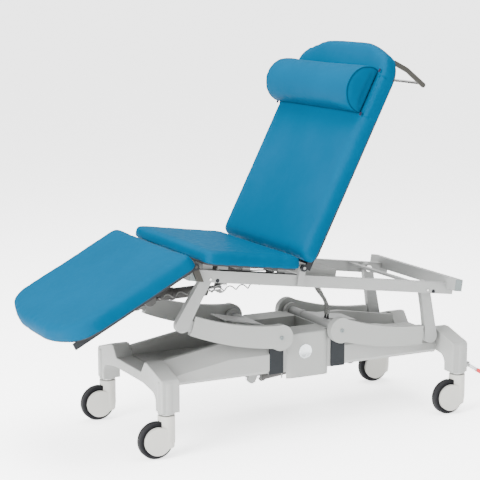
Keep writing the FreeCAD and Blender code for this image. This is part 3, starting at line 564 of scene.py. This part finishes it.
for side, sign in SIDES.items():
    rim = pillow_rim(sign * (PILLOW_WIDE - 0.002))
    tube(f"pillow_piping_{side}", on_surface(pillow, rim, 0.0004), 0.0022, piping, "head_pillow")
for edge, along in (("low", PILLOW_ALONG - PILLOW_HALF), ("high", PILLOW_ALONG + PILLOW_HALF)):
    line = [BACK @ Vector((along, PILLOW_WIDE * (i / 10 - 1), PILLOW_FLOOR + 0.004))
            for i in range(21)]
    tube(f"pillow_seam_{edge}", on_surface(pillow, line, 0.0002), 0.0014, piping, "head_pillow")


def strap_ring(along):
    """One loop round the backrest at a height along it: front, sides and the flat of its back."""
    half, front, back = 0.3125, 0.0615, -0.0042
    front_round, back_round = 0.018, 0.006
    loop = []
    for quarter, (across, up, r) in enumerate((
            (half - front_round, front - front_round, front_round),
            (-half + front_round, front - front_round, front_round),
            (-half + back_round, back + back_round, back_round),
            (half - back_round, back + back_round, back_round))):
        for i in range(7):
            a = math.radians(90 * quarter + 15 * i)
            loop.append(BACK @ Vector((along, across + r * math.cos(a), up + r * math.sin(a))))
    return on_surface(back_rest, loop, 0.0010)


STRAP_LOW = 0.546
STRAP_HIGH = 0.694
STRAP_ROWS = 18
STRAP_THICK = 0.0014
HEM_INSET = 0.004


def strap_band():
    """The pillow's strap, a wide loop lying on the backrest."""
    bm = bmesh.new()
    grid = [[bm.verts.new(point)
             for point in strap_ring(STRAP_LOW + (STRAP_HIGH - STRAP_LOW) * i / STRAP_ROWS)]
            for i in range(STRAP_ROWS + 1)]
    for low, high in zip(grid, grid[1:]):
        for i in range(len(low)):
            j = (i + 1) % len(low)
            bm.faces.new((low[i], low[j], high[j], high[i]))
    bmesh.ops.recalc_face_normals(bm, faces=bm.faces)
    mesh = bpy.data.meshes.new("pillow_band")
    bm.to_mesh(mesh)
    bm.free()
    band = link_mesh("pillow_band", mesh, vinyl, None)
    thick = band.modifiers.new("Thick", "SOLIDIFY")
    thick.thickness = STRAP_THICK
    thick.offset = 1
    finer = band.modifiers.new("Finer", "SUBSURF")
    finer.levels = finer.render_levels = 1
    applied(band)
    band.data.shade_smooth()
    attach(band, "head_pillow")
    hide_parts("pillow_strap")


strap_band()
for edge, along in (("low", STRAP_LOW + HEM_INSET), ("high", STRAP_HIGH - HEM_INSET)):
    tube(f"band_hem_{edge}", strap_ring(along), 0.0012, piping, "head_pillow", closed=True,
         sides=6)

# Painted shade: small dark purple blocks at the corners of the pillow's D-shaped ends. They stand in
# for the shadowed gaps where the pillow meets the backrest and are not parts of the pillow.
painted_corner_shade = surface("painted_corner_shade", (0.010, 0.006, 0.020), 0.85, grain=2600, grain_depth=0.0005)
for side, sign in SIDES.items():
    for edge, along in (("low", 0.548), ("high", 0.708)):
        place = BACK @ Matrix.Translation((along, sign * 0.2895, 0.0655))
        # Each block is a dark patch of painted shade in one corner gap.
        soft_block(f"pillow_corner_shade_{side}_{edge}", (0.013, 0.006, 0.006), place, painted_corner_shade,
                   "head_pillow", bevel=0.002)

# ---------------------------------------------------------------- small fittings


def cap_screw(name, place, axis, radius, material, body, rise=0.004):
    """A domed screw cap with a dished middle."""
    profile = [(0, -0.002), (radius, -0.002), (radius, rise * 0.35), (radius * 0.88, rise * 0.8),
               (radius * 0.62, rise), (radius * 0.45, rise * 0.92), (radius * 0.40, rise * 0.45),
               (0, rise * 0.42)]
    return turned_piece(name, profile, place, axis, material, body, steps=36)


ARM_FACE = 0.2045
for end, end_sign in ENDS.items():
    for side, sign in SIDES.items():
        place = (BASE_MIDDLE + end_sign * 0.120, sign * ARM_FACE, 0.340)
        cap_screw(f"{end}_pivot_cap_{side}", place, (0, sign, 0), 0.0075, end_grey,
                  f"{end}_lift_arms", rise=0.003)

RAIL_FACE = 0.2285
for side, sign in SIDES.items():
    for name, along, up, radius, material in (
            ("roller_cap", -0.8457, -0.0128, 0.0068, charcoal),
            ("roller_screw", -0.8720, -0.0095, 0.0045, bright),
            ("pin_cap", 0.0209, -0.0128, 0.0068, charcoal),
            ("pin_screw", -0.0035, -0.0095, 0.0045, bright),
            ("bracket_screw_low", -0.9120, -0.0060, 0.0050, bright)):
        cap_screw(f"{name}_{side}", TOP @ Vector((along, sign * RAIL_FACE, up)), (0, sign, 0),
                  radius, material, "top_frame", rise=0.0025)

# A plain dark insert along the top of each rail, below the seat.
for side, sign in SIDES.items():
    place = TOP @ Matrix.Translation((-0.690, sign * 0.2160, 0.0205))
    soft_block(f"rail_top_strip_{side}", (0.290, 0.023, 0.003), place, black, "top_frame",
               bevel=0.001)

# The plain round badge on each long side of the centre cover.
for side, sign in SIDES.items():
    place = (BASE_MIDDLE - 0.0099, sign * 0.1750, 0.2756)
    turned_piece(f"cover_badge_{side}",
                 [(0, -0.001), (0.0255, -0.001), (0.0255, 0.0006), (0.0245, 0.0014),
                  (0.0228, 0.0014), (0.0222, 0.0010), (0, 0.0010)], place, (0, sign, 0),
                 surface(f"badge_{side}", (0.50, 0.53, 0.54), 0.25, metallic=0.6), "base")

# The brake pedal's coloured grip.
PEDAL = Matrix.Translation(joints["brake_pedal_tilt"]["pos_m"]) @ Matrix.Rotation(
    math.radians(30), 4, "Y")
grip = soft_block("pedal_grip", (0.034, 0.026, 0.014), PEDAL @ Matrix.Translation((0.0600, 0, 0)),
                  red_tip, "brake_pedal", bevel=0.0045, steps=4)

# ---------------------------------------------------------------- leads


def sampled(points, step):
    """The NURBS line of a route, as (place, direction, length so far) at even steps, and its
    whole length."""
    curve, line = new_curve("route", "NURBS", points)
    curve.resolution_u = 24
    line.order_u = 3
    line.use_endpoint_u = True
    path = [v.co.copy() for v in curve_mesh(curve).vertices]
    reach = [0.0]
    for a, b in zip(path, path[1:]):
        reach.append(reach[-1] + (b - a).length)
    count = max(2, round(reach[-1] / step))
    found, k = [], 0
    for i in range(count + 1):
        want = reach[-1] * i / count
        while k < len(path) - 2 and reach[k + 1] < want:
            k += 1
        share = (want - reach[k]) / max(1e-9, reach[k + 1] - reach[k])
        along = (path[k + 1] - path[k]).normalized()
        found.append((path[k].lerp(path[k + 1], min(1, share)), along, want))
    return found, reach[-1]


TURN_STEPS = 16
PLAIN_END = 0.012


def curly_points(route, coil, pitch, wander):
    """A helix round a lead's route, straight for a short way at each end, and its length.
    wander is how far the coil's radius may shrink along the way, as a share of it."""
    spots, reach_all = sampled([TOP @ (Vector(p) / 1000) for p in route], pitch / TURN_STEPS)
    side = Vector((0, 1, 0))
    points = []
    for i, (place, along, reach) in enumerate(spots):
        side = (side - along * side.dot(along)).normalized()
        other = along.cross(side)
        grow = (min(reach, reach_all - reach) - PLAIN_END * 0.5) / PLAIN_END
        grow = min(1.0, max(0.0, grow))
        swell = 1 - wander * (0.5 + 0.5 * math.sin(reach * 71) * math.sin(reach * 29 + 1))
        radius = coil * swell * grow * grow * (3 - 2 * grow)
        angle = 2 * math.pi * i / TURN_STEPS
        points.append(place + side * radius * math.cos(angle) + other * radius * math.sin(angle))
    return points, sum((b - a).length for a, b in zip(points, points[1:]))


def lead(name, route, coil, thick, pitch, wander, holders):
    """A curly lead between two bodies, with a tapered boot where it goes into each holder."""
    points, length = curly_points(route, coil, pitch, wander)
    piece = tube(name + "_curl", points, thick / 2, lead_grey, None)
    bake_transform(piece)
    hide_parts(name)
    for end, place, inside, body in (("start", points[0], points[1], holders[0]),
                                     ("end", points[-1], points[-2], holders[1])):
        boot = turned_piece(f"{name}_boot_{end}",
                            [(0, -0.001), (0.0050, -0.001), (0.0050, 0.003), (0.0040, 0.004),
                             (0.0037, 0.007), (0.0040, 0.008), (0.0034, 0.010), (0.0030, 0.013),
                             (thick * 0.62, 0.018), (thick * 0.5, 0.018)],
                            place, inside - place, rubber, body, steps=24)


# The leads' routes repeat the CAD's, in millimetres in the top frame's own frame.
HANDSET_LEAD = [(-322.2, -97, -149.6), (-321.6, -97, -122), (-337, -103, -95), (-362, -114, -71),
                (-388, -127, -45), (-408, -136, -18), (-408, -136, 7.9)]
SUPPLY_LEAD = [(-322.2, -80, -149.6), (-321.6, -80, -118), (-331, -84, -88), (-362, -96, -62),
               (-392, -108, -40), (-409, -116, -14), (-409, -116, 7.9)]
LEG_LEAD = [(-600, -112, 19.9), (-600, -112, -8), (-624, -113, -32), (-662, -114, -43),
            (-705, -115, -50), (-752, -116, -55), (-800, -116, -62), (-850, -114, -69),
            (-898, -112, -76), (-940, -107, -90), (-978, -101, -98), (-1001, -97, -102)]
lead("handset_lead", HANDSET_LEAD, 0.0058, 0.0028, 0.0078, 0.20,
     ("head_lift_arms", "top_frame"))
lead("supply_lead", SUPPLY_LEAD, 0.0054, 0.0034, 0.0044, 0.04,
     ("head_lift_arms", "top_frame"))
lead("leg_lead", LEG_LEAD, 0.0080, 0.0042, 0.0460, 0.25,
     ("top_frame", "leg_actuator"))

# ---------------------------------------------------------------- edges


def soften_edges(width, *names):
    """Rounds the sharp edges of CAD nodes a little, as paint and moulding do."""
    for name in names:
        rounding = nodes[name].modifiers.new("EdgeRounding", "BEVEL")
        rounding.width = width
        rounding.segments = 2
        rounding.limit_method = "ANGLE"
        rounding.angle_limit = math.radians(40)
        rounding.harden_normals = True


for end in ENDS:
    soften_edges(0.0015, end + "_leg_frame", end + "_beam")
    for side in SIDES:
        soften_edges(0.0010, f"{end}_arm_{side}", f"{end}_arm_cover_{side}")
soften_edges(0.0014, "near_side_rail", "far_side_rail", "head_cross_rail", "control_box")
soften_edges(0.0007, "leg_section_frame", "backrest_frame", "side_trim_panels",
             "roll_holder_straps", "leg_hinge_brackets", "back_hinge_brackets")
